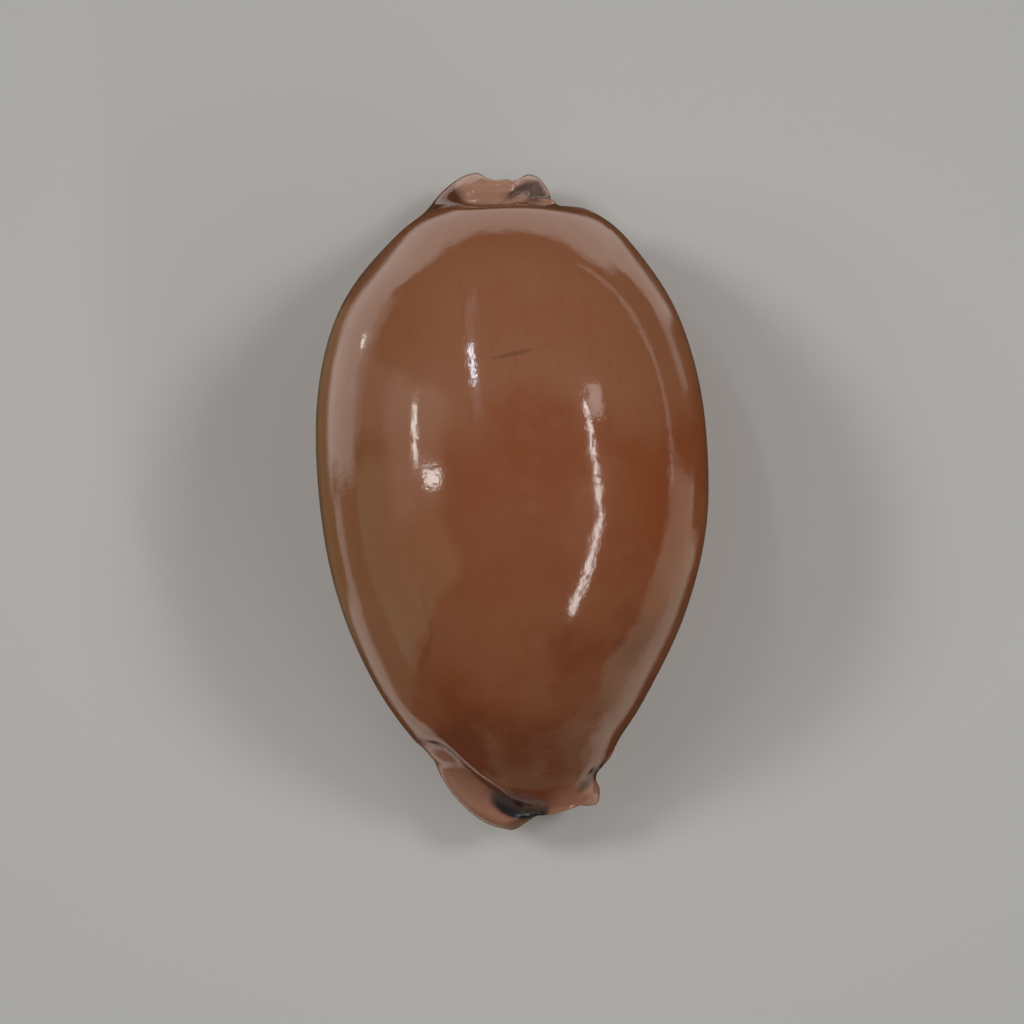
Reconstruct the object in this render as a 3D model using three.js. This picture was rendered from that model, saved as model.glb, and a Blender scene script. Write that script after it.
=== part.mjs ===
// A cowrie shell of the fallow kind, resting on its base with the slit down.
// Millimetres, +Z up. The wide rear end points to +Y, and the outer lip is on the -X side.
//
// The shell is one curved wall. Its outer surface runs through loops that go round the shell,
// one behind the other from the rear rim to the front rim. Each loop is open at the slit, where
// the wall turns over into the two toothed lips.
import * as THREE from "three";
import { mergeVertices } from "three/addons/utils/BufferGeometryUtils.js";

// Body
const HEIGHT = 21.6;
const HALF_WIDTH = 13.37;
const WIDEST_Y = 2.9;
const REAR_REACH = 17.75;
const FRONT_REACH = 27.5;
const REAR_ROUNDNESS = 2.28;
const FRONT_ROUNDNESS = 2.22;
const SPIRE_HEIGHT = 9;
const WIDEST_LEVEL = 0.4;
const BASE_DEPTH = -0.5;
const BASE_RISE = 0.011;
const BASE_MIDDLE_Y = 0.5;
const BASE_LEVEL_HALF_LENGTH = 8;
const SQUARENESS = 0.02;
const BASE_SQUARENESS = 0.1;

// Wall, lips and teeth
const BACK_WALL = 1.35;
const LIP_WALL = 2.5;
const RIM_WALL = 0.95;
const LIP_WALL_SPREAD = 5;
const LIP_RADIUS = 1.1;
const RIM_LIP_RADIUS = 0.7;
const RIM_TAPER = 5;
const BASE_TAPER = 10;
const LIP_WALL_TAPER = 14;
const SLIT_VALLEY_DEPTH = 1;
const SLIT_VALLEY_SPREAD = 2.6;
const TEETH = 21;
const TOOTH_HEIGHT = 0.5;
const TOOTH_SHARE_OF_LOOP = 0.022;
const TEETH_FROM_REAR_RIM = 5.2;
const TEETH_FROM_FRONT_RIM = 5.2;

// Mesh
const STEPS_PER_TOOTH = 4;
const STEPS_BESIDE_TEETH = 6;
const COARSE_STEP = 2;
const LIP_ANGLES = [90, 55, 25, 0].map(THREE.MathUtils.degToRad);
const BACK_STEPS = 28;
const RIM_ANGLES = [45, 90].map(THREE.MathUtils.degToRad);

// Each row is a loop, as seen from above: its leftmost and rightmost points [x, y], its highest
// and lowest points [x, y, z], and the height of the leftmost and rightmost points.
const REAR_FLANGE = [
  { left: [-3.3, 22.85], right: [1.5, 22.8], top: [-0.8, 22.0, 5.8], bottom: [-0.9, 22.3, 1.5], level: 3.5 },
  { left: [-4.3, 22.15], right: [2.2, 22.2], top: [-0.8, 21.5, 6.0], bottom: [-0.9, 21.7, 1.3], level: 3.6 },
  { left: [-5.0, 21.5], right: [2.6, 21.55], top: [-0.7, 20.9, 6.2], bottom: [-1, 21.1, 1.2], level: 3.8 },
  { left: [-5.45, 20.95], right: [2.85, 20.95], top: [-0.6, 20.35, 6.6], bottom: [-1, 20.5, 1.1], level: 4.1 },
  { left: [-5.85, 20.4], right: [3.75, 20.5], top: [-0.6, 20.3, 7.7], bottom: [-1.1, 19.9, 1.0], level: 4.6 },
  { left: [-6.3, 19.85], right: [4.95, 20.1], top: [-0.5, 20.5, 9.3], bottom: [-1.1, 19.3, 0.85], level: 5.2 },
  { left: [-6.85, 19.25], right: [6.05, 19.45], top: [-0.4, 20.4, 11.6], bottom: [-1.2, 18.7, 0.7], level: 5.9 },
  { left: [-7.75, 18.5], right: [7.15, 18.65], top: [-0.35, 19.65, 14.0], bottom: [-1.3, 18.0, 0.5], level: 6.6 },
];
const FRONT_FLANGE = [
  { left: [-5.85, -17.75], right: [6.65, -17.9], top: [0.7, -19.0, 8.7], bottom: [1.2, -17.8, 0.6], level: 4.3 },
  { left: [-5.5, -18.25], right: [6.1, -18.6], top: [1.3, -20.0, 7.4], bottom: [1.5, -18.6, 0.7], level: 4.0 },
  { left: [-5.1, -19.05], right: [5.92, -19.1], top: [1.9, -20.8, 6.6], bottom: [1.8, -19.4, 0.8], level: 3.8 },
  { left: [-3.85, -20.9], right: [5.95, -19.68], top: [2.6, -21.4, 6.1], bottom: [2.2, -20.6, 0.95], level: 3.7 },
  { left: [-0.35, -22.97], right: [6.08, -20.55], top: [3.1, -21.9, 5.8], bottom: [2.7, -21.6, 1.1], level: 3.6 },
];

// Where the body's loops are, and how far each one's middle is from x = 0.
const BODY_LOOPS = [
  { y: 16.8, shift: -0.3 },
  { y: 14.2, shift: -0.38 },
  { y: 10.6, shift: -0.34 },
  { y: 6.6, shift: -0.2 },
  { y: 3, shift: -0.05 },
  { y: -1, shift: 0.1 },
  { y: -5.2, shift: 0.09 },
  { y: -9.2, shift: 0.06 },
  { y: -12.6, shift: 0.06 },
  { y: -15.2, shift: 0.18 },
  { y: -17, shift: 0.35 },
];

// The slit's middle line and half of its width, from the front end to the rear end.
const SLIT = [
  { y: -21.8, x: 2.9, halfWidth: 1.2 },
  { y: -20, x: 2.5, halfWidth: 1.3 },
  { y: -17, x: 1.3, halfWidth: 1.4 },
  { y: -13, x: -0.4, halfWidth: 1.4 },
  { y: -8, x: -1.7, halfWidth: 1.25 },
  { y: -1, x: -2.5, halfWidth: 1.05 },
  { y: 6, x: -2.8, halfWidth: 0.98 },
  { y: 12, x: -2.7, halfWidth: 0.93 },
  { y: 16, x: -2.3, halfWidth: 0.9 },
  { y: 19, x: -1.6, halfWidth: 0.88 },
  { y: 21, x: -1.1, halfWidth: 0.85 },
  { y: 22.4, x: -0.9, halfWidth: 0.85 },
];
const BASE_FOLLOWS_SLIT = 0.75;

const { lerp, smoothstep } = THREE.MathUtils;

// A smooth curve through rows of values at the given knots, straight at both ends.
function naturalSpline(knots, rows) {
  const last = knots.length - 1;
  const gaps = knots.slice(1).map((knot, i) => knot - knots[i]);
  const bends = rows.map((row) => row.map(() => 0));
  const pivots = [1];
  for (let i = 1; i < last; i += 1) {
    const carry = i > 1 ? gaps[i - 1] / pivots[i - 1] : 0;
    pivots[i] = 2 * (gaps[i - 1] + gaps[i]) - carry * gaps[i - 1];
    rows[i].forEach((value, c) => {
      const ahead = (rows[i + 1][c] - value) / gaps[i];
      const behind = (value - rows[i - 1][c]) / gaps[i - 1];
      bends[i][c] = 6 * (ahead - behind) - carry * bends[i - 1][c];
    });
  }
  for (let i = last - 1; i > 0; i -= 1) {
    bends[i] = bends[i].map((bend, c) => (bend - gaps[i] * bends[i + 1][c]) / pivots[i]);
  }
  return (at) => {
    let i = 0;
    while (i < last - 1 && at > knots[i + 1]) i += 1;
    const p = (at - knots[i]) / gaps[i];
    const q = 1 - p;
    const size = gaps[i] * gaps[i] / 6;
    return rows[i].map((value, c) => (
      q * value + p * rows[i + 1][c]
      + ((q ** 3 - q) * bends[i][c] + (p ** 3 - p) * bends[i + 1][c]) * size
    ));
  };
}

const slitAt = naturalSpline(SLIT.map(({ y }) => y), SLIT.map(({ x, halfWidth }) => [x, halfWidth]));

function bodyLoop({ y, shift }) {
  const behind = Math.max(y - WIDEST_Y, 0) / REAR_REACH;
  const before = Math.max(WIDEST_Y - y, 0) / FRONT_REACH;
  const round = (1 - behind ** REAR_ROUNDNESS) ** (1 / REAR_ROUNDNESS);
  const narrow = 1 - before ** FRONT_ROUNDNESS;
  const halfWidth = HALF_WIDTH * (y > WIDEST_Y ? round : narrow);
  const height = y > WIDEST_Y ? lerp(SPIRE_HEIGHT, HEIGHT, round) : HEIGHT * narrow;
  const lift = Math.max(Math.abs(y - BASE_MIDDLE_Y) - BASE_LEVEL_HALF_LENGTH, 0);
  return {
    left: [shift - halfWidth, y],
    right: [shift + halfWidth, y],
    top: [shift, y, height],
    bottom: [BASE_FOLLOWS_SLIT * slitAt(y)[0], y, BASE_DEPTH + BASE_RISE * lift * lift],
    level: WIDEST_LEVEL * height,
  };
}

// The loops in order, and the way along the shell from the rear rim to each one, taken as the
// mean of the distances between their left, right, top and bottom points.
const loops = [...REAR_FLANGE, ...BODY_LOOPS.map(bodyLoop), ...FRONT_FLANGE];
const rows = loops.map(({ left, right, top, bottom, level }) => (
  [...left, ...right, ...top, ...bottom, level]
));
const ways = [0];
for (let i = 1; i < loops.length; i += 1) {
  const ends = [loops[i - 1], loops[i]].map(({ left, right, top, bottom, level }) => [
    new THREE.Vector3(...left, level),
    new THREE.Vector3(...right, level),
    new THREE.Vector3(...top),
    new THREE.Vector3(...bottom),
  ]);
  const total = ends[0].reduce((sum, point, k) => sum + point.distanceTo(ends[1][k]), 0);
  ways.push(ways[i - 1] + total / ends[0].length);
}
const frontRim = ways[ways.length - 1];
const loopAt = naturalSpline(ways, rows);

// Goes smoothly from 0 at both rims to 1 at the given distance from them.
function rimTaper(way, distance) {
  return smoothstep(Math.min(way, frontRim - way), 0, distance);
}

// A point of the outer surface. The angle is 0 on the right, a quarter turn on top.
function surfacePoint(way, angle) {
  const [
    leftX, leftY, rightX, rightY, topX, topY, topZ, bottomX, bottomY, bottomZ, level,
  ] = loopAt(way);
  const across = Math.cos(angle);
  const up = Math.sin(angle);
  const square = SQUARENESS + BASE_SQUARENESS * rimTaper(way, BASE_TAPER) * (1 - up) / 2;
  const middleX = (leftX + rightX) / 2;
  const middleY = (leftY + rightY) / 2;
  return new THREE.Vector3(
    middleX + (rightX - leftX) / 2 * (across - square * Math.cos(3 * angle)) / (1 - square)
      + (topX - bottomX) / 2 * up + ((topX + bottomX) / 2 - middleX) * up * up,
    middleY + (rightY - leftY) / 2 * across + (topY - bottomY) / 2 * up
      + ((topY + bottomY) / 2 - middleY) * up * up,
    level + (topZ - bottomZ) / 2 * up + ((topZ + bottomZ) / 2 - level) * up * up,
  );
}

// The surface's normal into the shell, and its direction to the front, square to the loop.
function directions(way, angle) {
  const nudge = 1e-3;
  const from = Math.max(way - nudge, 0);
  const to = Math.min(way + nudge, frontRim);
  const along = surfacePoint(to, angle).sub(surfacePoint(from, angle));
  const round = surfacePoint(way, angle + nudge).sub(surfacePoint(way, angle - nudge));
  const inward = along.cross(round).normalize();
  return { inward, forward: round.cross(inward).normalize() };
}

// The angle of the outer surface at any distance round the loop, measured from the slit's middle.
function angleByDistance(way, slitX) {
  const samples = 720;
  let start = -Math.PI;
  while (surfacePoint(way, start).x < slitX) start += Math.PI / samples;
  const angles = Array.from({ length: samples + 1 }, (_, i) => start - 2 * Math.PI * i / samples);
  const points = angles.map((angle) => surfacePoint(way, angle));
  const distances = [0];
  for (let i = 1; i <= samples; i += 1) {
    distances.push(distances[i - 1] + points[i].distanceTo(points[i - 1]));
  }
  const at = (distance) => {
    let i = 0;
    while (i < samples - 1 && distance > distances[i + 1]) i += 1;
    const part = (distance - distances[i]) / (distances[i + 1] - distances[i]);
    return lerp(angles[i], angles[i + 1], part);
  };
  return { at, total: distances[samples] };
}

// Places from one lip's edge over the back to the other's: how far each is from the slit's middle
// round the loop, the angle by which the lip has turned over there, and whether teeth reach it.
function placesRound(total, halfSlit, lipRadius) {
  const lip = LIP_ANGLES.map((turn) => ({
    far: halfSlit + lipRadius * (1 - Math.sin(turn)),
    turn,
    toothed: true,
  }));
  const teethEnd = halfSlit + lipRadius + TOOTH_SHARE_OF_LOOP * total;
  lip.push({ far: teethEnd, turn: 0, toothed: true });
  const back = [];
  for (let i = 1; i < BACK_STEPS; i += 1) {
    back.push({ far: lerp(teethEnd, total - teethEnd, i / BACK_STEPS), turn: 0, toothed: false });
  }
  return [...lip, ...back, ...lip.map((place) => ({ ...place, far: total - place.far })).reverse()];
}

// Height of a tooth ridge at this way along the shell: up to 0.5 on a ridge, -0.5 in a groove.
function toothWave(way) {
  const length = frontRim - TEETH_FROM_REAR_RIM - TEETH_FROM_FRONT_RIM;
  const phase = (way - TEETH_FROM_REAR_RIM) / length * TEETH;
  if (phase <= 0 || phase >= TEETH) return 0;
  return -Math.cos(2 * Math.PI * phase) / 2 * smoothstep(Math.min(phase, TEETH - phase), 0, 1);
}

// One station: for each place round the loop the outer surface, its directions and the wall there.
function station(way) {
  const [slitX, halfSlit] = slitAt(loopAt(way)[8]);
  const taper = rimTaper(way, RIM_TAPER);
  const lipRadius = lerp(RIM_LIP_RADIUS, LIP_RADIUS, taper);
  const round = angleByDistance(way, slitX);
  const tooth = TOOTH_HEIGHT * toothWave(way);
  return placesRound(round.total, halfSlit, lipRadius).map(({ far, turn, toothed }) => {
    const near = Math.min(far, round.total - far);
    const onBase = 1 - smoothstep(near - halfSlit - lipRadius, 0, TOOTH_SHARE_OF_LOOP * round.total);
    const toSlit = tooth * Math.sin(turn) * (far < round.total / 2 ? -1 : 1);
    const angle = round.at(far + toSlit);
    const lipWall = lerp(RIM_WALL, LIP_WALL, rimTaper(way, LIP_WALL_TAPER));
    const backWall = lerp(RIM_WALL, BACK_WALL, taper);
    return {
      point: surfacePoint(way, angle),
      ...directions(way, angle),
      wall: lerp(backWall, lipWall, Math.exp(-((near / LIP_WALL_SPREAD) ** 2))),
      cut: (1 - Math.cos(turn)) / 2,
      valley: SLIT_VALLEY_DEPTH * taper * Math.exp(-((near / SLIT_VALLEY_SPREAD) ** 2)),
      ridge: tooth * Math.cos(turn) * onBase,
      fineOutside: toothed,
      fineInside: turn > 0,
    };
  });
}

// A closed ring of vertices round the wall at a station. At a rim the wall thins by the cosine of
// the rim angle and moves on by its sine, forward or backward, which rounds the rim over.
function wallRing(places, rimAngle, side) {
  const at = ({ point, inward, forward, wall, valley }, depth) => {
    const middle = wall / 2;
    return point.clone()
      .addScaledVector(inward, middle + (depth - middle) * Math.cos(rimAngle) + valley)
      .addScaledVector(forward, side * middle * Math.sin(rimAngle));
  };
  const outer = places.map((place) => {
    const vertex = at(place, place.cut * place.wall - place.ridge);
    vertex.z = Math.max(vertex.z, 0);
    return vertex;
  });
  const inner = places.map((place) => at(place, (1 - place.cut) * place.wall));
  return [...outer, ...inner.slice(1, -1).reverse()];
}

function stationWays() {
  const toothed = frontRim - TEETH_FROM_REAR_RIM - TEETH_FROM_FRONT_RIM;
  const list = [];
  for (let i = 0; i < STEPS_BESIDE_TEETH; i += 1) {
    list.push(TEETH_FROM_REAR_RIM * i / STEPS_BESIDE_TEETH);
  }
  for (let i = 0; i < TEETH * STEPS_PER_TOOTH; i += 1) {
    list.push(TEETH_FROM_REAR_RIM + toothed * i / (TEETH * STEPS_PER_TOOTH));
  }
  for (let i = 0; i <= STEPS_BESIDE_TEETH; i += 1) {
    list.push(frontRim - TEETH_FROM_FRONT_RIM * (1 - i / STEPS_BESIDE_TEETH));
  }
  return list;
}

// Adds the triangles between two rows of vertices that run side by side.
function stitch(index, row, nextRow) {
  const steps = row.length - 1;
  const nextSteps = nextRow.length - 1;
  let i = 0;
  let j = 0;
  while (i < steps || j < nextSteps) {
    if (j === nextSteps || (i < steps && i * nextSteps <= j * steps)) {
      index.push(row[i], row[i + 1], nextRow[j]);
      i += 1;
    } else {
      index.push(row[i], nextRow[j + 1], nextRow[j]);
      j += 1;
    }
  }
}

// Only the toothed rows of vertices use every station. The others skip some between the teeth.
function shellGeometry() {
  const stations = stationWays().map(station);
  const rings = [
    ...RIM_ANGLES.toReversed().map((angle) => wallRing(stations[0], angle, -1)),
    ...stations.map((places) => wallRing(places, 0, 0)),
    ...RIM_ANGLES.map((angle) => wallRing(stations.at(-1), angle, 1)),
  ];
  const size = rings[0].length;
  const fine = [
    ...stations[0].map(({ fineOutside }) => fineOutside),
    ...stations[0].slice(1, -1).reverse().map(({ fineInside }) => fineInside),
  ];
  const firstTooth = RIM_ANGLES.length + STEPS_BESIDE_TEETH;
  const lastTooth = firstTooth + TEETH * STEPS_PER_TOOTH;
  const index = [];
  let from = 0;
  while (from + 1 < rings.length) {
    const to = from + (from >= firstTooth && from < lastTooth ? COARSE_STEP : 1);
    const rowOf = (place) => {
      const row = [from * size + place];
      for (let r = from + 1; r < to && fine[place]; r += 1) row.push(r * size + place);
      return [...row, to * size + place];
    };
    for (let place = 0; place < size; place += 1) {
      stitch(index, rowOf(place), rowOf((place + 1) % size));
    }
    from = to;
  }
  const used = [...new Set(index)].sort((a, b) => a - b);
  const places = new Map(used.map((vertex, i) => [vertex, i]));
  const vertices = rings.flat();
  const geometry = new THREE.BufferGeometry();
  geometry.setAttribute("position", new THREE.Float32BufferAttribute(
    used.flatMap((vertex) => vertices[vertex].toArray()),
    3,
  ));
  geometry.setIndex(index.map((vertex) => places.get(vertex)));
  return mergeVertices(geometry, 1e-4);
}

const brownGlaze = new THREE.MeshStandardMaterial({ color: 0x7a4a30, roughness: 0.15, metalness: 0 });
const shell = new THREE.Mesh(shellGeometry(), brownGlaze);
shell.name = "shell";

const cowrie = new THREE.Group();
cowrie.add(shell);

export default cowrie;
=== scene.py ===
import math

import bpy
import numpy as np
from mathutils import Matrix, Vector


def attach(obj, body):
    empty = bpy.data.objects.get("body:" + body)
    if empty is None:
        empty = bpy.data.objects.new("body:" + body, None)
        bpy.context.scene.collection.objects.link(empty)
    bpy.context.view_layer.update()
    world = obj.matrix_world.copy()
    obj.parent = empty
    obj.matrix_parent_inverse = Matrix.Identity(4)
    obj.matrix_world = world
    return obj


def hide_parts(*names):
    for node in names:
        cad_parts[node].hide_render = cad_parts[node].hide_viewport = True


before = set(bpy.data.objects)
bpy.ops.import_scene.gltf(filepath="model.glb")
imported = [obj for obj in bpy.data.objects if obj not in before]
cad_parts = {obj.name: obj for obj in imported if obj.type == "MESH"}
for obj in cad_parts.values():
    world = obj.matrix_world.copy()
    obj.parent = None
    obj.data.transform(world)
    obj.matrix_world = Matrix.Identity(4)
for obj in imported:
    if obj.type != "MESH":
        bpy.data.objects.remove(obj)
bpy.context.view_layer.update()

# The shell is one curved wall. Its outer surface runs through loops that go round the shell, one
# behind the other from the rear rim to the front rim. Each loop is open at the slit, where the
# wall turns over into the two toothed lips. Lengths are millimetres up to the finished mesh.
MM = 0.001

# Body
HEIGHT = 21.6
HALF_WIDTH = 13.37
WIDEST_Y = 2.9
REAR_REACH = 17.75
FRONT_REACH = 27.5
REAR_ROUNDNESS = 2.28
FRONT_ROUNDNESS = 2.22
SPIRE_HEIGHT = 9
WIDEST_LEVEL = 0.4
BASE_DEPTH = -0.5
BASE_RISE = 0.011
BASE_MIDDLE_Y = 0.5
BASE_LEVEL_HALF_LENGTH = 8
SQUARENESS = 0.02
BASE_SQUARENESS = 0.1

# Wall, lips and teeth
BACK_WALL = 1.35
LIP_WALL = 2.5
RIM_WALL = 0.95
LIP_WALL_SPREAD = 5
LIP_RADIUS = 1.1
RIM_LIP_RADIUS = 0.7
RIM_TAPER = 5
BASE_TAPER = 10
LIP_WALL_TAPER = 14
SLIT_VALLEY_DEPTH = 1
SLIT_VALLEY_SPREAD = 2.6
TEETH = 21
TOOTH_HEIGHT = 0.5
TOOTH_SHARE_OF_LOOP = 0.022
TEETH_FROM_RIM = 5.2

# Mesh
STEPS_PER_TOOTH = 11
STEPS_BESIDE_TEETH = 62
LIP_STEPS = 10
TOOTH_END_STEPS = 4
BACK_STEPS = 152
INNER_STEP = 4
RIM_STEPS = 6
ROUND_SAMPLES = 1440

# Values that the material reads: on the whole wall, or on its outer surface alone.
WALL_TINTS = ("from_lip", "up", "flange")
OUTER_TINTS = ("tooth", "crease_shade", "soot")

# Each row is a loop, as seen from above: leftmost x, y; rightmost x, y; highest x, y, z;
# lowest x, y, z; and the height of the leftmost and rightmost points.
REAR_FLANGE = [
    (-2.65, 22.95, 1.25, 22.84, -0.6, 22.0, 5.8, -0.7, 22.2, 1.5, 3.5),
    (-3.4, 22.72, 1.75, 22.66, -0.7, 21.8, 5.85, -0.8, 22.0, 1.4, 3.55),
    (-4.3, 22.15, 2.2, 22.2, -0.8, 21.5, 6.0, -0.9, 21.7, 1.3, 3.6),
    (-5.0, 21.5, 2.6, 21.55, -0.7, 20.9, 6.2, -1.0, 21.1, 1.2, 3.8),
    (-5.45, 20.95, 2.85, 20.95, -0.6, 20.35, 6.6, -1.0, 20.5, 1.1, 4.1),
    (-5.85, 20.4, 3.75, 20.5, -0.6, 20.3, 7.7, -1.1, 19.9, 1.0, 4.6),
    (-6.3, 19.85, 4.95, 20.1, -0.5, 20.5, 9.3, -1.1, 19.3, 0.85, 5.2),
    (-6.85, 19.25, 6.05, 19.45, -0.4, 20.4, 11.6, -1.2, 18.7, 0.7, 5.9),
    (-7.75, 18.5, 7.15, 18.65, -0.35, 19.65, 14.0, -1.3, 18.0, 0.5, 6.6),
]
FRONT_FLANGE = [
    (-5.85, -17.75, 6.8, -17.9, 0.7, -19.0, 8.7, 1.2, -17.8, 0.6, 4.3),
    (-5.5, -18.25, 6.2, -18.6, 1.3, -20.0, 7.4, 1.5, -18.6, 0.7, 4.0),
    (-5.1, -19.05, 5.92, -19.1, 1.9, -20.8, 6.6, 1.8, -19.4, 0.8, 3.8),
    (-3.8, -20.85, 5.95, -19.6, 2.6, -21.35, 6.1, 2.2, -20.6, 0.95, 3.7),
    (-1.7, -22.5, 6.1, -20.1, 2.85, -21.7, 5.95, 2.45, -21.3, 1.0, 3.65),
    (-0.2, -22.95, 6.05, -20.75, 3.1, -21.55, 5.8, 2.7, -21.3, 1.1, 3.6),
]

# Where the body's loops are, and how far each one's middle is from x = 0.
BODY_LOOPS = [
    (16.8, -0.3), (14.2, -0.38), (10.6, -0.34), (6.6, -0.2), (3, -0.05), (-1, 0.1),
    (-5.2, 0.09), (-9.2, 0.06), (-12.6, 0.06), (-15.2, 0.18), (-17, 0.35),
]

# The slit's middle line and half of its width, from the front end to the rear end: y, x, half.
SLIT = np.array([
    (-21.8, 2.9, 1.2), (-20, 2.5, 1.3), (-17, 1.3, 1.4), (-13, -0.4, 1.4), (-8, -1.7, 1.25),
    (-1, -2.5, 1.05), (6, -2.8, 0.98), (12, -2.7, 0.93), (16, -2.3, 0.9), (19, -1.6, 0.88),
    (21, -1.1, 0.85), (22.4, -0.9, 0.85),
])
BASE_FOLLOWS_SLIT = 0.75

# The line on which the body ends and a flange begins, in plan, with the flange on its left. Each
# row is x, y, how deep the crease and the painted shade beside it are there as a share, over how
# many millimetres the body's colour turns into the flange's, and how black the crease is.
FRONT_EDGE = [
    (6.6, -17.9, 0.1, 0.3, 0), (5.9, -18.8, 0.15, 0.4, 0), (5.0, -19.35, 0.05, 1.6, 0),
    (4.1, -19.7, 0, 2.6, 0), (3.2, -20.3, 0, 2.6, 0), (2.4, -21.1, 0.1, 1.8, 0.4),
    (1.5, -21.7, 0.5, 0.6, 1), (0.52, -21.72, 0.9, 0.2, 1), (-0.52, -21.3, 1, 0.12, 0.95),
    (-1.4, -20.67, 1, 0.1, 0.5), (-2.2, -20.1, 1, 0.1, 0.05), (-2.95, -19.5, 1, 0.1, 0),
    (-4.34, -18.2, 0.9, 0.1, 0), (-5.46, -17.1, 0.6, 0.1, 0), (-6.6, -16.2, 0, 0.1, 0),
]
REAR_EDGE = [
    (-3.5, 23.5, 0, 0.3, 0), (-3.95, 22.3, 0, 0.3, 0), (-3.95, 21.5, 0.1, 0.3, 0),
    (-3.4, 20.95, 0.3, 0.3, 0), (-2.4, 20.75, 0.5, 0.2, 0), (-0.9, 20.75, 0.5, 0.15, 0),
    (1, 20.75, 0.3, 0.15, 0), (3.2, 20.4, 0.2, 0.2, 0), (5, 19.9, 0, 0.3, 0),
]
CREASE_DEPTH = 0.75
CREASE_ON_BODY = 0.65
CREASE_ON_FLANGE = 0.85
EDGE_BULGE = 0.14
EDGE_BULGE_PLACE = -1.2
EDGE_BULGE_REACH = 0.5
# Where the painted shade on the body's side of the crease lies, and how far it reaches.
CREASE_SHADE_PLACE = -0.32
CREASE_SHADE_REACH = 0.4
SOOT_PLACE = 0.22
SOOT_REACH = 0.5

# Ridges and hollows of the flanges: height, half width, and rows of x, y and share of the height.
FLANGE_RELIEF = [
    (0.45, 0.22, [(-0.1, 20.75, 0), (0.7, 20.92, 0.8), (1.4, 21.0, 1), (2.1, 20.95, 1),
                  (2.7, 20.75, 0.8), (3.2, 20.45, 0)]),
    (-0.32, 0.36, [(0.3, 22.5, 0.6), (0.75, 21.95, 1), (0.35, 21.5, 1), (-0.3, 21.2, 0.6),
                   (-0.9, 20.95, 0)]),
    (-0.4, 0.4, [(1.3, 22.2, 0.2), (1.5, 21.85, 1), (1.7, 21.55, 1), (1.9, 21.3, 0.4)]),
    (0.16, 0.5, [(-3.2, 22.0, 0.4), (-2.8, 21.5, 1), (-2.4, 21.1, 0.6)]),
    (-0.1, 0.35, [(5.4, -18.1, 0), (5.75, -18.7, 1), (5.2, -19.3, 0.7), (4.7, -19.7, 0)]),
]

# How far from a rim the details of its end reach, and over how much of that they fade out. They
# lie on the upper side alone, which the sine of the angle round the shell tells.
FLANGE_REACH = 8
FLANGE_FADE = 2
UPPER_SIDE_FROM = -0.2
UPPER_SIDE_TO = 0.15
SHARPEST_CHANGE = 0.05


def smoothstep(x, low=0.0, high=1.0):
    t = np.clip((x - low) / (high - low), 0, 1)
    return t * t * (3 - 2 * t)


def lerp(a, b, t):
    return a + (b - a) * t


def natural_spline(knots, rows):
    """A smooth curve through rows of values at the given knots, straight at both ends."""
    count = len(knots)
    gaps = np.diff(knots)[:, None]
    slopes = np.diff(rows, axis=0) / gaps
    matrix = np.eye(count)
    right = np.zeros_like(rows)
    for i in range(1, count - 1):
        matrix[i, i - 1:i + 2] = gaps[i - 1, 0], 2 * (gaps[i - 1, 0] + gaps[i, 0]), gaps[i, 0]
        right[i] = 6 * (slopes[i] - slopes[i - 1])
    bends = np.linalg.solve(matrix, right)

    def at(places):
        places = np.atleast_1d(places)
        i = np.clip(np.searchsorted(knots, places) - 1, 0, count - 2)
        p = (places - knots[i])[:, None] / gaps[i]
        q = 1 - p
        curve = (q ** 3 - q) * bends[i] + (p ** 3 - p) * bends[i + 1]
        return q * rows[i] + p * rows[i + 1] + curve * gaps[i] ** 2 / 6

    return at


slit_at = natural_spline(SLIT[:, 0], SLIT[:, 1:])


def body_loop(y, shift):
    """The body's loop at y. It is rounded behind its widest place and narrows before it."""
    behind = max(y - WIDEST_Y, 0) / REAR_REACH
    before = max(WIDEST_Y - y, 0) / FRONT_REACH
    rounded = (1 - behind ** REAR_ROUNDNESS) ** (1 / REAR_ROUNDNESS)
    narrowed = 1 - before ** FRONT_ROUNDNESS
    half = HALF_WIDTH * (rounded if y > WIDEST_Y else narrowed)
    height = lerp(SPIRE_HEIGHT, HEIGHT, rounded) if y > WIDEST_Y else HEIGHT * narrowed
    lift = max(abs(y - BASE_MIDDLE_Y) - BASE_LEVEL_HALF_LENGTH, 0)
    base_x = BASE_FOLLOWS_SLIT * slit_at(y)[0, 0]
    base_z = BASE_DEPTH + BASE_RISE * lift * lift
    return (shift - half, y, shift + half, y, shift, y, height, base_x, y, base_z,
            WIDEST_LEVEL * height)


def ways_to(loops):
    """The way along the shell to each loop, the mean of its four corner points' distances."""
    left = loops[:, [0, 1, 10]]
    right = loops[:, [2, 3, 10]]
    steps = [np.linalg.norm(np.diff(line, axis=0), axis=1)
             for line in (left, right, loops[:, 4:7], loops[:, 7:10])]
    return np.concatenate([[0], np.cumsum(np.mean(steps, axis=0))])


loops = np.array([*REAR_FLANGE, *(body_loop(*row) for row in BODY_LOOPS), *FRONT_FLANGE], float)
ways = ways_to(loops)
front_rim = ways[-1]
loop_at = natural_spline(ways, loops)


def rim_taper(way, distance):
    """Goes smoothly from 0 at both rims to 1 at the given distance from them."""
    return smoothstep(np.minimum(way, front_rim - way), 0, distance)


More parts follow.
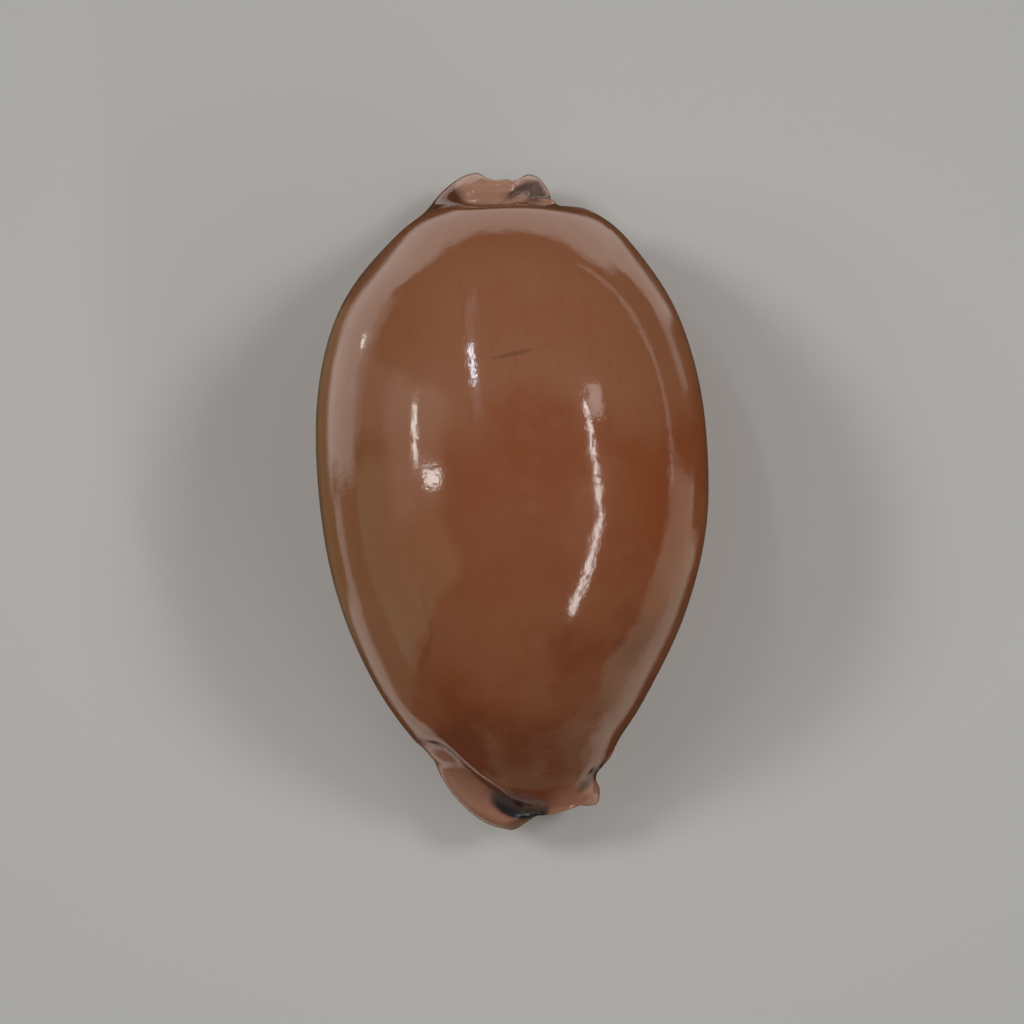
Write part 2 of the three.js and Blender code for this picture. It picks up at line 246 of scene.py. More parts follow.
def surface(way, angle):
    """Points of the outer surface, a row for each way. Angle 0 is right, a quarter turn is up."""
    lx, ly, rx, ry, tx, ty, tz, bx, by, bz, level = loop_at(way).T[:, :, None]
    across = np.cos(angle)
    up = np.sin(angle)
    square = SQUARENESS + BASE_SQUARENESS * rim_taper(way, BASE_TAPER)[:, None] * (1 - up) / 2
    mx = (lx + rx) / 2
    my = (ly + ry) / 2
    x = mx + (rx - lx) / 2 * (across - square * np.cos(3 * angle)) / (1 - square)
    x = x + (tx - bx) / 2 * up + ((tx + bx) / 2 - mx) * up ** 2
    y = my + (ry - ly) / 2 * across + (ty - by) / 2 * up + ((ty + by) / 2 - my) * up ** 2
    z = level + (tz - bz) / 2 * up + ((tz + bz) / 2 - level) * up ** 2
    return np.stack([x, y, z], axis=-1)


def unit(vectors):
    return vectors / np.linalg.norm(vectors, axis=-1, keepdims=True)


def directions(way, angle, nudge=1e-3):
    """The surface's normals into the shell, and its directions to the front, square to the loop."""
    after = surface(np.minimum(way + nudge, front_rim), angle)
    along = after - surface(np.maximum(way - nudge, 0), angle)
    turn = surface(way, angle + nudge) - surface(way, angle - nudge)
    inward = unit(np.cross(along, turn))
    return inward, unit(np.cross(turn, inward))


def angles_by_distance(way, far_of):
    """The angles of the surface at far_of(total) round each loop, from the slit's middle."""
    slit_x = slit_at(loop_at(way)[:, 8])[:, 0]
    sweep = np.linspace(0, 2 * np.pi, ROUND_SAMPLES + 1)
    lower = np.linspace(-np.pi, 0, ROUND_SAMPLES)
    under = surface(way, np.tile(lower, (len(way), 1)))[..., 0]
    start = [np.interp(x, row, lower) for x, row in zip(slit_x, under)]
    angle = np.array(start)[:, None] - sweep
    points = surface(way, angle)
    steps = np.linalg.norm(np.diff(points, axis=1), axis=2)
    distance = np.concatenate([np.zeros((len(way), 1)), np.cumsum(steps, axis=1)], axis=1)
    total = distance[:, -1:]
    far = far_of(total)
    angles = [np.interp(f, d, a) for f, d, a in zip(far, distance, angle)]
    return np.array(angles), far, total


def tooth_wave(way):
    """Up to 0.5 on a tooth's ridge and down to -0.5 in the groove beside it."""
    phase = (way - TEETH_FROM_RIM) / (front_rim - 2 * TEETH_FROM_RIM) * TEETH
    inside = smoothstep(np.minimum(phase, TEETH - phase))
    return -np.cos(2 * np.pi * phase) / 2 * inside


def beside_line(x, y, line, samples=90):
    """Each place's distance from a line in plan, positive on its left, and the line's values."""
    rows = np.array(line, float)
    knots = np.concatenate([[0], np.cumsum(np.hypot(*np.diff(rows[:, :2], axis=0).T))])
    drawn = natural_spline(knots, rows)(np.linspace(0, knots[-1], samples))
    run = np.gradient(drawn[:, :2], axis=0)
    away_x = x.reshape(-1, 1) - drawn[:, 0]
    away_y = y.reshape(-1, 1) - drawn[:, 1]
    nearest = np.argmin(away_x ** 2 + away_y ** 2, axis=1)
    row = np.arange(len(nearest))
    away_x = away_x[row, nearest]
    away_y = away_y[row, nearest]
    side = np.sign(run[nearest, 0] * away_y - run[nearest, 1] * away_x)
    distance = side * np.hypot(away_x, away_y)
    return distance.reshape(x.shape), drawn[nearest, 2:].T.reshape(-1, *x.shape)


def bell(x, reach):
    return np.exp(-(x / reach) ** 2)


def end_details(point, way, up):
    """How far the outer surface stands out at the two ends, and where flange, painted crease shade
    and soot are.
    """
    x = point[..., 0]
    y = point[..., 1]
    upper = smoothstep(up, UPPER_SIDE_FROM, UPPER_SIDE_TO)
    relief, flange, crease_shade, soot = np.zeros((4, *x.shape))
    for edge, from_rim in ((FRONT_EDGE, front_rim - way), (REAR_EDGE, way)):
        near_end = 1 - smoothstep(from_rim, FLANGE_REACH - FLANGE_FADE, FLANGE_REACH)
        distance, (share, soft, black) = beside_line(x, y, edge)
        share = np.clip(share, 0, 1) * near_end * upper
        reach = np.where(distance > 0, CREASE_ON_FLANGE, CREASE_ON_BODY)
        bulge = EDGE_BULGE * bell(distance - EDGE_BULGE_PLACE, EDGE_BULGE_REACH)
        relief += share * (bulge - CREASE_DEPTH * bell(distance, reach))
        past_edge = smoothstep(distance / np.maximum(soft, SHARPEST_CHANGE), -0.5, 0.5)
        flange = np.maximum(flange, near_end * past_edge)
        # Painted shade on the body's side of the crease, stronger where the crease is deeper.
        crease_shade = np.maximum(crease_shade, np.sqrt(share) * bell(distance - CREASE_SHADE_PLACE, CREASE_SHADE_REACH))
        black = np.clip(black, 0, 1) * near_end * upper
        soot = np.maximum(soot, black * bell(distance - SOOT_PLACE, SOOT_REACH))
    for height, half_width, line in FLANGE_RELIEF:
        distance, (share,) = beside_line(x, y, line)
        relief += height * np.clip(share, 0, 1) * upper * bell(distance, half_width)
    return relief, flange, crease_shade, soot


def station_ways():
    """The ways at which the rings lie: even along the teeth, and closer together at the ends."""
    toothed = TEETH * STEPS_PER_TOOTH
    return np.concatenate([
        np.linspace(0, TEETH_FROM_RIM, STEPS_BESIDE_TEETH, endpoint=False),
        np.linspace(TEETH_FROM_RIM, front_rim - TEETH_FROM_RIM, toothed, endpoint=False),
        np.linspace(front_rim - TEETH_FROM_RIM, front_rim, STEPS_BESIDE_TEETH + 1),
    ])


def wall_stations(way):
    """For each station and place round it: the outer surface, its directions and the wall."""
    half_slit = slit_at(loop_at(way)[:, 8])[:, 1:]
    taper = rim_taper(way, RIM_TAPER)[:, None]
    lip_radius = lerp(RIM_LIP_RADIUS, LIP_RADIUS, taper)
    tooth = TOOTH_HEIGHT * tooth_wave(way)[:, None]
    turned = np.linspace(np.pi / 2, 0, LIP_STEPS)
    past_lip = np.linspace(0, 1, TOOTH_END_STEPS + 1)[1:]
    across = np.linspace(0, 1, BACK_STEPS + 1)[1:-1]
    turn = np.concatenate([turned, 0 * past_lip, 0 * across, 0 * past_lip, turned[::-1]])

    def far_of(total):
        lip = half_slit + lip_radius * (1 - np.sin(turned))
        start = half_slit + lip_radius
        base = start + TOOTH_SHARE_OF_LOOP * total * past_lip
        half = np.concatenate([lip, base], axis=1)
        back = lerp(base[:, -1:], total - base[:, -1:], across)
        far = np.concatenate([half, back, (total - half)[:, ::-1]], axis=1)
        side = np.where(far < total / 2, -1, 1)
        return far + tooth * np.sin(turn) * side

    angle, far, total = angles_by_distance(way, far_of)
    near = np.minimum(far, total - far)
    inward, forward = directions(way, angle)
    back_wall = lerp(RIM_WALL, BACK_WALL, taper)
    lip_wall = lerp(RIM_WALL, LIP_WALL, rim_taper(way, LIP_WALL_TAPER)[:, None])
    on_base = 1 - smoothstep((near - half_slit - lip_radius) / (TOOTH_SHARE_OF_LOOP * total))
    point = surface(way, angle)
    relief, flange, crease_shade, soot = end_details(point, way[:, None], np.sin(angle))
    return {
        "point": point,
        "inward": inward,
        "forward": forward,
        "wall": lerp(back_wall, lip_wall, bell(near, LIP_WALL_SPREAD)),
        "cut": np.broadcast_to((1 - np.cos(turn)) / 2, near.shape),
        "valley": SLIT_VALLEY_DEPTH * taper * bell(near, SLIT_VALLEY_SPREAD),
        "ridge": tooth * np.cos(turn) * on_base,
        "relief": relief,
        "from_lip": near - half_slit,
        "up": np.sin(angle),
        "flange": flange,
        "tooth": tooth / TOOTH_HEIGHT * np.maximum(on_base, 0),
        "crease_shade": crease_shade,
        "soot": soot,
    }


def inner_places():
    """The places round the inner surface, last to first: all at the lips and fewer on the back."""
    at_lip = LIP_STEPS + TOOTH_END_STEPS
    last = 2 * at_lip + BACK_STEPS - 2
    places = np.arange(last - 1, 0, -1)
    kept = (np.minimum(places, last - places) < at_lip) | (places % INNER_STEP == 0)
    return places[kept]


def ring_of(outer, inner):
    """The values of one ring's points, from those of the wall's outer and inner surface."""
    return np.concatenate([outer, inner[inner_places()]])


def wall_ring(place, rim_angle, side):
    """A closed ring round the wall. At a rim it thins and moves on, which rounds the rim over."""
    middle = place["wall"] / 2

    def at(depth):
        reach = middle + (depth - middle) * math.cos(rim_angle) + place["valley"]
        push = side * middle * math.sin(rim_angle)
        return place["point"] + place["inward"] * reach[:, None] + place["forward"] * push[:, None]

    outer = at(place["cut"] * place["wall"] - place["ridge"] - place["relief"])
    outer[:, 2] = np.maximum(outer[:, 2], 0)
    return ring_of(outer, at((1 - place["cut"]) * place["wall"]))


def tint_rings(rows):
    """What the material reads at each ring's points. Depth is 0 outside the wall and 1 inside."""
    tints = {name: [ring_of(row[name], row[name]) for row in rows] for name in WALL_TINTS}
    for name in OUTER_TINTS:
        tints[name] = [ring_of(row[name], 0 * row[name]) for row in rows]
    tints["depth"] = [ring_of(row["cut"], 1 - row["cut"]) for row in rows]
    return tints


def shell_mesh():
    way = station_ways()
    places = wall_stations(way)
    rows = [{key: value[i] for key, value in places.items()} for i in range(len(way))]
    rim_angles = np.linspace(0, np.pi / 2, RIM_STEPS + 1)[1:]
    stages = [(rows[0], angle, -1) for angle in rim_angles[::-1]]
    stages += [(row, 0.0, 0) for row in rows]
    stages += [(rows[-1], angle, 1) for angle in rim_angles]
    rings = np.array([wall_ring(*stage) for stage in stages])
    count, size = rings.shape[:2]
    ring = np.arange(count * size).reshape(count, size)
    a = ring[:-1]
    b = np.roll(ring, -1, axis=1)[:-1]
    faces = np.stack([a, a + size, b + size, b], axis=-1).reshape(-1, 4)
    mesh = bpy.data.meshes.new("cowrie_shell")
    mesh.from_pydata((rings.reshape(-1, 3) * MM).tolist(), [], faces.tolist())
    for name, values in tint_rings([row for row, _, _ in stages]).items():
        layer = mesh.attributes.new(name, "FLOAT", "POINT")
        layer.data.foreach_set("value", np.array(values, dtype=np.float32).ravel())
    mesh.shade_smooth()
    return mesh


class Shader:
    """Short calls for making the nodes of a material or a world."""

    def __init__(self, owner):
        owner.use_nodes = True
        self.owner = owner
        self.tree = owner.node_tree

    def put(self, socket, value):
        if isinstance(value, bpy.types.NodeSocket):
            self.tree.links.new(value, socket)
        else:
            socket.default_value = value

    def principled(self, **values):
        """Sets inputs of the material's Principled BSDF, with _ for a space in their names."""
        inputs = self.tree.nodes["Principled BSDF"].inputs
        for name, value in values.items():
            self.put(inputs[name.replace("_", " ")], value)
        return self.owner

    def node(self, kind, *values, out=0, **settings):
        made = self.tree.nodes.new("ShaderNode" + kind)
        for key, value in settings.items():
            setattr(made, key, value)
        for socket, value in zip(made.inputs, values):
            if value is not None:
                self.put(socket, value)
        return made.outputs[out]

    def math(self, operation, *values):
        return self.node("Math", *values, operation=operation)

    def add_share(self, value, other, share):
        return self.math("ADD", value, self.math("MULTIPLY", other, share))

    def attribute(self, name):
        return self.node("Attribute", attribute_name=name, out="Fac")

    def ramp(self, value, low, high, top=1):
        """0 below low and top above high, smooth between. Low may be the larger one."""
        made = self.tree.nodes.new("ShaderNodeMapRange")
        made.interpolation_type = "SMOOTHSTEP"
        ends = ((low, 0), (high, top)) if low < high else ((high, top), (low, 0))
        for end, (start, result) in zip(("Min", "Max"), ends):
            made.inputs["From " + end].default_value = start
            made.inputs["To " + end].default_value = result
        self.put(made.inputs["Value"], value)
        return made.outputs["Result"]

    def noise(self, place, scale, detail, roughness):
        made = self.tree.nodes.new("ShaderNodeTexNoise")
        self.put(made.inputs["Vector"], place)
        made.inputs["Scale"].default_value = scale
        made.inputs["Detail"].default_value = detail
        made.inputs["Roughness"].default_value = roughness
        return made.outputs[0]

    def about_zero(self, noise):
        """A noise of 0 to 1, lowered so that its middle is 0."""
        return self.math("SUBTRACT", noise, 0.5)

    def mix(self, share, first, second):
        """Two colours mixed. Inputs 6 and 7 and output 2 are the Mix node's colour sockets."""
        made = self.tree.nodes.new("ShaderNodeMix")
        made.data_type = "RGBA"
        self.put(made.inputs[0], share)
        self.put(made.inputs[6], first)
        self.put(made.inputs[7], second)
        return made.outputs[2]


def colour(red, green, blue):
    """A colour from its sRGB values of 0 to 255."""
    def linear(value):
        share = value / 255
        return share / 12.92 if share <= 0.04045 else ((share + 0.055) / 1.055) ** 2.4
    return (linear(red), linear(green), linear(blue), 1.0)


# Colours
BROWN = colour(156, 90, 52)
RED_BROWN = colour(153, 81, 43)
BAND_BROWN = colour(165, 108, 75)
SIDE_BROWN = colour(153, 95, 56)
# Painted shade: a darker brown toward the front end.
FRONT_SHADE_BROWN = colour(122, 62, 35)
PEACH = colour(190, 138, 107)
PINK_CREAM = colour(200, 156, 136)
FRONT_PEACH = colour(170, 116, 90)
CREAM = colour(222, 196, 164)
TOOTH_WHITE = colour(240, 228, 208)
GROOVE_TAN = colour(196, 158, 122)
INSIDE = colour(206, 188, 184)
# Painted shade: the dark brown of the ends' creases, notches and flanks.
SHADE_BROWN = colour(84, 44, 28)
BLOTCH = colour(30, 19, 14)
# Painted reflection: a grey sheen on the glaze of both ends.
REFLECTION_GREY = colour(104, 82, 76)
SCRATCH = colour(62, 36, 22)
GREEN_BROWN = colour(84, 66, 34)

# Marks on the glaze: colour, centre and half sizes in millimetres, the turn about +Z in degrees,
# how strong the mark is, and how ragged its edge is.
MARKS = [
    # A painted grey reflection on the rear right lobe, then the rear end's black blotches.
    (REFLECTION_GREY, (1.5, 21.6, 5.4), (0.75, 0.75, 3), 0, 0.85, 0.4),
    (BLOTCH, (0.35, 21.55, 5.4), (0.95, 0.26, 3), 36, 0.7, 0.5),
    (BLOTCH, (2.3, 21.18, 5.2), (0.45, 0.14, 3), -8, 0.8, 0.4),
    # Painted shade on the rear flange's left flank, over the shell's own darker brown.
    (SHADE_BROWN, (-4.6, 20.8, 5.2), (1.3, 0.7, 3), 30, 0.75, 0.5),
    # A painted grey reflection along the front crease, over its black blotch.
    (REFLECTION_GREY, (0.4, -20.7, 5.6), (1.8, 0.65, 3), -14, 0.7, 0.6),
    (BLOTCH, (0.45, -20.95, 5.6), (0.35, 0.22, 3), -40, 0.75, 0.5),
    # Painted shade under the front tip.
    (SHADE_BROWN, (0.35, -22.45, 4.6), (0.8, 0.4, 3), 20, 0.5, 0.6),
    (BLOTCH, (5.85, -18.7, 4.6), (0.4, 0.7, 3), -35, 1.0, 0.4),
    # Painted shade in the front right notch.
    (SHADE_BROWN, (5.2, -19.25, 4.8), (1.0, 0.45, 3), 50, 0.95, 0.5),
    (SCRATCH, (0.0, 9.75, 21), (1.5, 0.13, 4), 13, 0.3, 2.4),
    (GREEN_BROWN, (-5.75, -7.4, 17), (0.22, 1.4, 5), 14, 0.22, 2.2),
    (GREEN_BROWN, (-5.85, -10.3, 16), (0.22, 1.0, 5), -20, 0.22, 2.2),
]

# Where a mark starts and where it is whole, in half sizes from its centre.
MARK_EDGE = (1.5, 0.6)

# Noises of the glaze: cells to a metre, finer layers, and how strong each finer layer is.
CLOUDS = (95, 4, 0.55)
MOTTLE = (420, 4, 0.6)
FIBRES = (520, 5, 0.65)
EDGES = (900, 3, 0.6)
WAVES = (240, 2, 0.5)
DIMPLES = (1500, 3, 0.6)
FIBRE_SQUEEZE = (3.2, 0.8, 1)

# Where each colour comes in: the value at which it starts, the value at which it is whole, and
# how strong it is there if not 1. Places and distances are millimetres.
BROWN_IN_CLOUDS = (0.36, 0.62)
SIDE_FROM_MIDDLE = (-4 * MM, -11 * MM, 0.75)
# Painted shade toward the front end.
FRONT_SHADE_TO_END = (-10 * MM, -18 * MM, 0.85)
STREAKS_IN_FIBRES = (0.5, 0.72, 0.3)
SPECKS_IN_MOTTLE = (0.5, 0.7, 0.25)
PINK_IN_MOTTLE = (0.6, 0.8)
FRONT_PEACH_ALONG = (0, -1 * MM)
CREAM_BELOW = (-0.5, -0.9)
LIP_NEAR_SLIT = (4.5, 1.2)
WHITE_ON_TEETH = (-0.35, 0.25)
INSIDE_AT_DEPTH = (0.55, 0.95)
SOOT_AT_CREASE = (0.2, 0.75)
MARKS_AT_DEPTH = (0.6, 0.4)
MARKS_ABOVE = (-0.35, 0)

# The paler bands across the back: middle and half width in millimetres, and strength. In the
# stated share of its half width a band is whole.
BANDS = [(8.6, 7.0, 0.75), (16.5, 8.0, 0.8), (-9.6, 6.0, 0.4)]
BAND_CORE = 0.05

# How far the clouds shift the edges of the back's browns, in millimetres, and how much further
# back the painted shade of the front reaches for each millimetre to the right.
CLOUD_SHIFT = 22
FRONT_SHADE_SLANT = 0.45

# Shares: of the clouds in the pink, of noise in two edges, and of two colours where they are whole.
CLOUDS_IN_PINK = 0.4
CREAM_RAGGEDNESS = 0.3
SOOT_RAGGEDNESS = 0.3
LIP_STRENGTH = 0.9
# How strong the painted shade along the creases is.
CREASE_SHADE_STRENGTH = 0.85

# Gloss, and the glaze's fine relief in millimetres.
GLAZE_ROUGHNESS = 0.04
MOTTLED_ROUGHNESS = 0.08
LIP_AND_FLANGE_ROUGHNESS = 0.12
GLAZE_IOR = 1.8
DIMPLE_SHARE = 0.42
BUMP_HEIGHT = 0.03


def mark_mask(shader, place, fray, centre, half, turn, strength, ragged):
    moved = shader.node("Mapping", place, tuple(c * MM for c in centre), (0, 0, math.radians(turn)),
                        tuple(h * MM for h in half), vector_type="TEXTURE")
    distance = shader.node("VectorMath", moved, operation="LENGTH", out="Value")
    return shader.ramp(shader.add_share(distance, fray, ragged), *MARK_EDGE, strength)


def brown_back(shader, place, x, y, clouds, mottle):
    """The back's brown: clouded, paler in bands across it, and darker at the front with painted
    shade.
    """
    sway = shader.math("MULTIPLY", shader.about_zero(clouds), CLOUD_SHIFT * MM)
    loose_x = shader.math("ADD", x, sway)
    loose_y = shader.math("ADD", y, sway)
    brown = shader.mix(shader.ramp(clouds, *BROWN_IN_CLOUDS), RED_BROWN, BROWN)
    brown = shader.mix(shader.ramp(loose_x, *SIDE_FROM_MIDDLE), brown, SIDE_BROWN)
    for middle, half, strength in BANDS:
        from_band = shader.math("ABSOLUTE", shader.math("SUBTRACT", loose_y, middle * MM))
        band = shader.ramp(from_band, half * MM, BAND_CORE * half * MM, strength)
        brown = shader.mix(band, brown, BAND_BROWN)
    # Painted shade toward the front end, reaching further back on the right.
    slanted_y = shader.add_share(loose_y, x, -FRONT_SHADE_SLANT)
    brown = shader.mix(shader.ramp(slanted_y, *FRONT_SHADE_TO_END), brown, FRONT_SHADE_BROWN)
    squeezed = shader.node("Mapping", place, None, None, FIBRE_SQUEEZE)
    streaks = shader.ramp(shader.noise(squeezed, *FIBRES), *STREAKS_IN_FIBRES)
    brown = shader.mix(streaks, brown, RED_BROWN)
    return shader.mix(shader.ramp(mottle, *SPECKS_IN_MOTTLE), brown, BAND_BROWN)


def flange_peach(shader, y, clouds, mottle):
    pinkness = shader.ramp(shader.add_share(mottle, clouds, CLOUDS_IN_PINK), *PINK_IN_MOTTLE)
    peach = shader.mix(pinkness, PEACH, PINK_CREAM)
    return shader.mix(shader.ramp(y, *FRONT_PEACH_ALONG), peach, FRONT_PEACH)


def add_marks(shader, place, up, depth, colour_below):
    """The painted shade along the ends' creases, the black of the crease, and the marks, on the
    upper side.
    """
    # Painted shade along the creases of the ends.
    crease_shade = shader.math("MULTIPLY", shader.attribute("crease_shade"), CREASE_SHADE_STRENGTH)
    body = shader.mix(crease_shade, colour_below, SHADE_BROWN)
    fray = shader.about_zero(shader.noise(place, *EDGES))
    soot = shader.add_share(shader.attribute("soot"), fray, SOOT_RAGGEDNESS)
    body = shader.mix(shader.ramp(soot, *SOOT_AT_CREASE), body, BLOTCH)
    outside = shader.ramp(depth, *MARKS_AT_DEPTH)
    upper_side = shader.math("MULTIPLY", outside, shader.ramp(up, *MARKS_ABOVE))
    for tint, *mark in MARKS:
        mask = shader.math("MULTIPLY", mark_mask(shader, place, fray, *mark), upper_side)
        body = shader.mix(mask, body, tint)
    return body


def glaze_relief(shader, place):
    waves = shader.noise(place, *WAVES)
    dimples = shader.noise(place, *DIMPLES)
    bump = shader.tree.nodes.new("ShaderNodeBump")
    bump.inputs["Strength"].default_value = 1
    bump.inputs["Distance"].default_value = BUMP_HEIGHT * MM
    shader.put(bump.inputs["Height"], shader.add_share(waves, dimples, DIMPLE_SHARE))
    return bump.outputs["Normal"]


def shell_material():
    shader = Shader(bpy.data.materials.new("cowrie_glaze"))
    place = shader.node("TexCoord", out="Object")
    x = shader.node("SeparateXYZ", place, out="X")
    y = shader.node("SeparateXYZ", place, out="Y")
    clouds = shader.noise(place, *CLOUDS)
    mottle = shader.noise(place, *MOTTLE)
    up = shader.attribute("up")
    depth = shader.attribute("depth")
    flange = shader.attribute("flange")

    body = brown_back(shader, place, x, y, clouds, mottle)
    body = shader.mix(flange, body, flange_peach(shader, y, clouds, mottle))
    loose_up = shader.add_share(up, shader.about_zero(clouds), CREAM_RAGGEDNESS)
    body = shader.mix(shader.ramp(loose_up, *CREAM_BELOW), body, CREAM)
    by_lip = shader.ramp(shader.attribute("from_lip"), *LIP_NEAR_SLIT)
    on_tooth = shader.ramp(shader.attribute("tooth"), *WHITE_ON_TEETH)
    lip = shader.mix(on_tooth, GROOVE_TAN, TOOTH_WHITE)
    body = shader.mix(shader.math("MULTIPLY", by_lip, LIP_STRENGTH), body, lip)
    body = shader.mix(shader.ramp(depth, *INSIDE_AT_DEPTH), body, INSIDE)
    body = add_marks(shader, place, up, depth, body)

    glazed = shader.math("ADD", shader.math("MULTIPLY", mottle, MOTTLED_ROUGHNESS), GLAZE_ROUGHNESS)
    duller = shader.math("MAXIMUM", by_lip, flange)
    roughness = shader.add_share(glazed, duller, LIP_AND_FLANGE_ROUGHNESS)
    return shader.principled(Base_Color=body, Roughness=roughness, IOR=GLAZE_IOR,
                             Normal=glaze_relief(shader, place))


def make_shell():
    shell = bpy.data.objects.new("cowrie_shell", shell_mesh())
    bpy.context.scene.collection.objects.link(shell)
    shell.data.materials.append(shell_material())
    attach(shell, "root")
    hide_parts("shell")


# The floor and the lights are in metres, and the cone is in degrees.
FLOOR_HALF = 3
FLOOR_DROP = 0.00002
FLOOR_COLOUR = (0.7, 0.69, 0.67, 1)
FLOOR_ROUGHNESS = 0.8
SHELL_MIDDLE = Vector((0, 0, 0.01))
POOL_CONE = 22
POOL_LIGHT_SIZE = 0.1


def make_floor():
    """A pale floor. The glaze mirrors the world's screens in its place, as the photograph shows."""
    half = FLOOR_HALF
    corners = [(-half, -half, 0), (half, -half, 0), (half, half, 0), (-half, half, 0)]
    mesh = bpy.data.meshes.new("floor")
    mesh.from_pydata(corners, [], [(0, 1, 2, 3)])
    shader = Shader(bpy.data.materials.new("pale_floor"))
    mesh.materials.append(shader.principled(Base_Color=FLOOR_COLOUR, Roughness=FLOOR_ROUGHNESS))
    floor = bpy.data.objects.new("floor", mesh)
    floor.location.z = -FLOOR_DROP
    floor.visible_glossy = False
    bpy.context.scene.collection.objects.link(floor)


def softbox(name, place, width, length, watts, tint, lean=0):
    """A rectangular light that faces the shell. Its length is nearest to Y, turned by lean."""
    data = bpy.data.lights.new(name, "AREA")
    data.shape = "RECTANGLE"
    data.size = width
    data.size_y = length
    data.energy = watts
    data.color = tint
    light = bpy.data.objects.new(name, data)
    back = (Vector(place) - SHELL_MIDDLE).normalized()
    side = Vector((0, 1, 0)).cross(back).normalized()
    turned = Matrix((side, back.cross(side), back)).transposed().to_4x4()
    leaning = Matrix.Rotation(math.radians(lean), 4, "Z")
    light.matrix_world = Matrix.Translation(place) @ turned @ leaning
    bpy.context.scene.collection.objects.link(light)


def pool_light(name, place, watts):
    """A soft round light on the floor about the shell, which the glaze doesn't mirror."""
    data = bpy.data.lights.new(name, "SPOT")
    data.energy = watts
    data.spot_size = math.radians(POOL_CONE)
    data.spot_blend = 1
    data.shadow_soft_size = POOL_LIGHT_SIZE
    light = bpy.data.objects.new(name, data)
    light.location = place
    light.rotation_euler = Vector(place).to_track_quat("Z", "Y").to_euler()
    light.visible_glossy = False
    bpy.context.scene.collection.objects.link(light)


WARM = (1, 0.96, 0.91)
COOL = (0.8, 0.88, 1)

# The room's light, the backdrop behind the floor, and what the glaze mirrors of the room. Below
# the horizon that darkens between the two levels.
ROOM = (0.2, 0.2, 0.2, 1)
BACKDROP = (0.34, 0.335, 0.325, 1)
MIRRORED_BELOW = (0.045, 0.03, 0.02, 1)
MIRRORED_HORIZON = (0.045, 0.042, 0.04, 1)
MIRRORED_ZENITH = (0.13, 0.13, 0.14, 1)
DARKER_BELOW = (-0.5, -0.8)

# Soft screens about the shell that only the glaze shows. Each has the way to its middle about +Z
# and half of its width in degrees, its lowest and highest level on a sphere of radius 1, how soft
# its edges are, and its colour. A later screen stands in front of an earlier one.
SCREENS = [
    (178, 30, -0.98, -0.7, 0.06, (0.14, 0.11, 0.06, 1)),
    (205, 25, -0.62, -0.2, 0.05, (0.17, 0.15, 0.11, 1)),
    (283, 27, -0.97, -0.2, 0.05, (0.22, 0.2, 0.14, 1)),
    (346, 16, -0.57, -0.06, 0.04, (0.52, 0.49, 0.39, 1)),
    (320, 14, -0.6, -0.12, 0.05, (0.38, 0.36, 0.27, 1)),
    (326, 23, -0.77, -0.48, 0.06, (0.55, 0.51, 0.42, 1)),
    (22, 8, -0.66, -0.5, 0.04, (0.45, 0.41, 0.37, 1)),
    (40, 12, -0.83, -0.5, 0.04, (0.7, 0.63, 0.57, 1)),
    (171, 9, -0.3, 0.78, 0.06, (0.26, 0.24, 0.22, 1)),
    (160, 21, -0.35, -0.12, 0.05, (0.45, 0.42, 0.38, 1)),
    (116, 68, -0.79, -0.25, 0.06, (0.87, 0.81, 0.76, 1)),
    (206, 24, -0.24, 0.68, 0.05, (0.3, 0.34, 0.24, 1)),
    (180, 17, 0.26, 0.75, 0.09, (0.52, 0.49, 0.43, 1)),
    (334, 22, 0.66, 0.82, 0.06, (0.26, 0.25, 0.23, 1)),
    (195, 10, -0.73, -0.6, 0.03, (0.52, 0.47, 0.42, 1)),
    (229, 28, -0.84, -0.61, 0.04, (0.55, 0.5, 0.45, 1)),
]
SCREEN_RAGGEDNESS = 0.16
SCREEN_EDGES = (4, 2, 0.5)


def screen_mask(shader, level, loose_height, sway, middle, half, low, high, soft):
    facing = (math.cos(math.radians(middle)), math.sin(math.radians(middle)), 0)
    toward = shader.node("VectorMath", level, facing, operation="DOT_PRODUCT", out="Value")
    aside = shader.math("ADD", shader.math("ARCCOSINE", toward), sway)
    within = shader.ramp(aside, math.radians(half) + soft, math.radians(half) - soft)
    over = shader.ramp(loose_height, low - soft, low + soft)
    under = shader.ramp(loose_height, high + soft, high - soft)
    return shader.math("MULTIPLY", within, shader.math("MULTIPLY", over, under))


def make_world():
    world = bpy.data.worlds.new("studio")
    shader = Shader(world)
    way = shader.node("TexCoord", out="Generated")
    height = shader.node("SeparateXYZ", way, out="Z")
    level = shader.node("VectorMath", way, (1, 1, 0), operation="MULTIPLY")
    level = shader.node("VectorMath", level, operation="NORMALIZE")
    edges = shader.about_zero(shader.noise(way, *SCREEN_EDGES))
    sway = shader.math("MULTIPLY", edges, SCREEN_RAGGEDNESS)
    loose_height = shader.math("ADD", height, sway)
    mirrored = shader.mix(shader.ramp(height, 0, 1), MIRRORED_HORIZON, MIRRORED_ZENITH)
    mirrored = shader.mix(shader.ramp(height, *DARKER_BELOW), mirrored, MIRRORED_BELOW)
    for *screen, tint in SCREENS:
        mask = screen_mask(shader, level, loose_height, sway, *screen)
        mirrored = shader.mix(mask, mirrored, tint)
    path = shader.tree.nodes.new("ShaderNodeLightPath")
    seen = shader.mix(path.outputs["Is Camera Ray"], ROOM, BACKDROP)
    seen = shader.mix(path.outputs["Is Glossy Ray"], seen, mirrored)
    shader.put(shader.tree.nodes["Background"].inputs["Color"], seen)
    bpy.context.scene.world = world
    bpy.context.scene.view_settings.view_transform = "Standard"


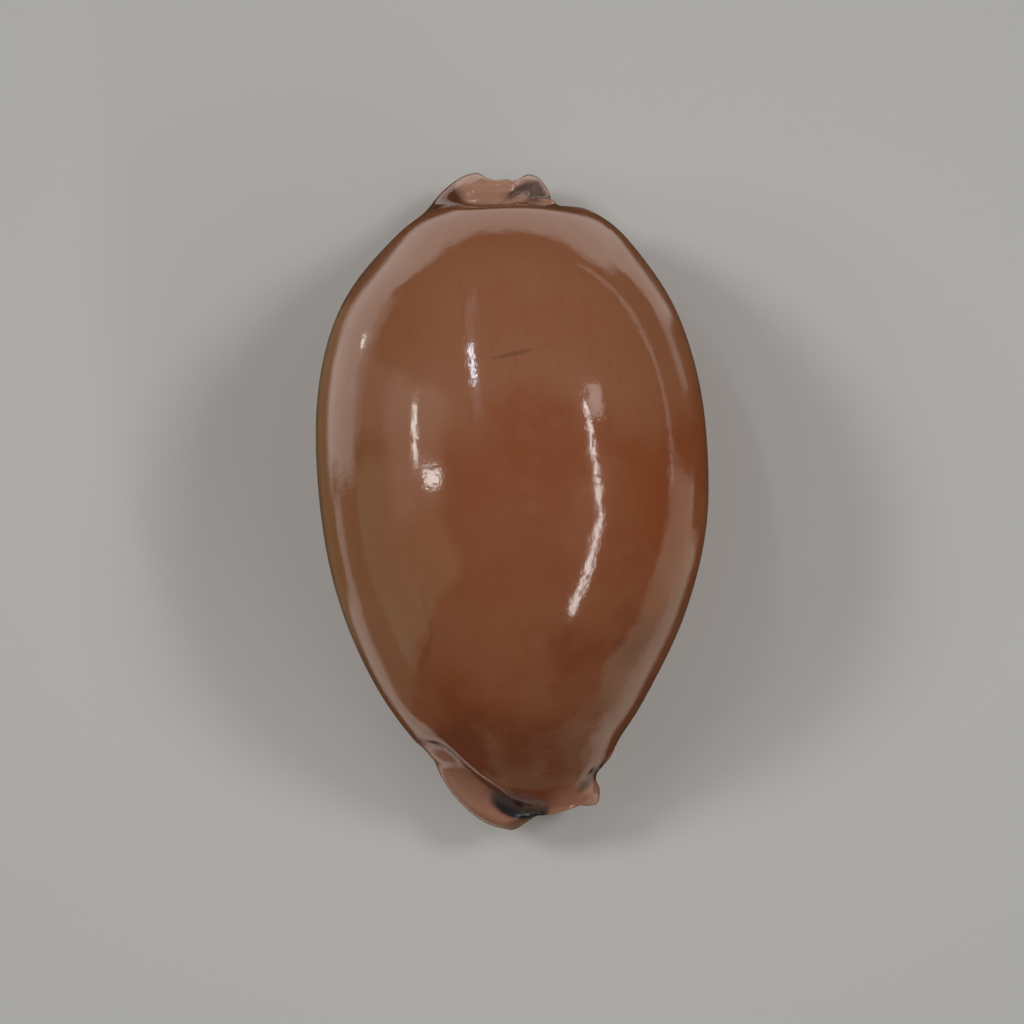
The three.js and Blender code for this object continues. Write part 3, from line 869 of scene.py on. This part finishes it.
def make_lights():
    """The pools light the scene. The softboxes are the bright streaks and spots on the glaze."""
    pool_light("left_pool", (-0.46, 0.20, 0.48), 5.3)
    pool_light("right_pool", (0.42, 0.20, 0.48), 4.6)
    softbox("right_strip", (0.49, -0.035, 0.50), 0.011, 0.42, 0.25, WARM, 14)
    softbox("right_glow", (0.50, 0.17, 0.47), 0.09, 0.10, 0.05, WARM)
    softbox("right_window", (0.53, -0.52, 0.50), 0.045, 0.55, 0.55, WARM)
    softbox("left_strip", (-0.60, 0.045, 0.42), 0.013, 0.16, 0.1, WARM)
    softbox("left_window", (-0.50, -0.068, 0.49), 0.12, 0.045, 0.12, WARM)
    softbox("rear_strip", (-0.245, 0.29, 0.60), 0.018, 0.2, 0.19, COOL, 15)
    softbox("rear_panel", (-0.26, 0.36, 0.62), 0.08, 0.6, 0.05, COOL, 15)
    softbox("low_strip", (0.7, 0.38, -0.07), 0.045, 0.9, 0.075, WARM)
    softbox("low_glint", (-0.54, 0.22, -0.17), 0.03, 0.035, 0.018, WARM)


# The photograph looks straight down, and its middle is over this point of the shell. The shell's
# ends are at this level, and so many of the photograph's pixels apart.
LENGTH = 46
LENGTH_IN_PIXELS = 659
IMAGE_SIZE = 1024
END_LEVEL = 3.5
CAMERA_HEIGHT = 350
IMAGE_MIDDLE = (-0.03, -0.73)
SENSOR_WIDTH = 36
NEAREST_SEEN = 10
FARTHEST_SEEN = 10000


def make_camera():
    data = bpy.data.cameras.new("camera")
    view_width = IMAGE_SIZE * LENGTH / LENGTH_IN_PIXELS
    data.sensor_width = SENSOR_WIDTH
    data.lens = SENSOR_WIDTH * (CAMERA_HEIGHT - END_LEVEL) / view_width
    data.clip_start = NEAREST_SEEN * MM
    data.clip_end = FARTHEST_SEEN * MM
    camera = bpy.data.objects.new("camera", data)
    camera.location = (IMAGE_MIDDLE[0] * MM, IMAGE_MIDDLE[1] * MM, CAMERA_HEIGHT * MM)
    bpy.context.scene.collection.objects.link(camera)
    bpy.context.scene.camera = camera


make_shell()
make_floor()
make_world()
make_lights()
make_camera()
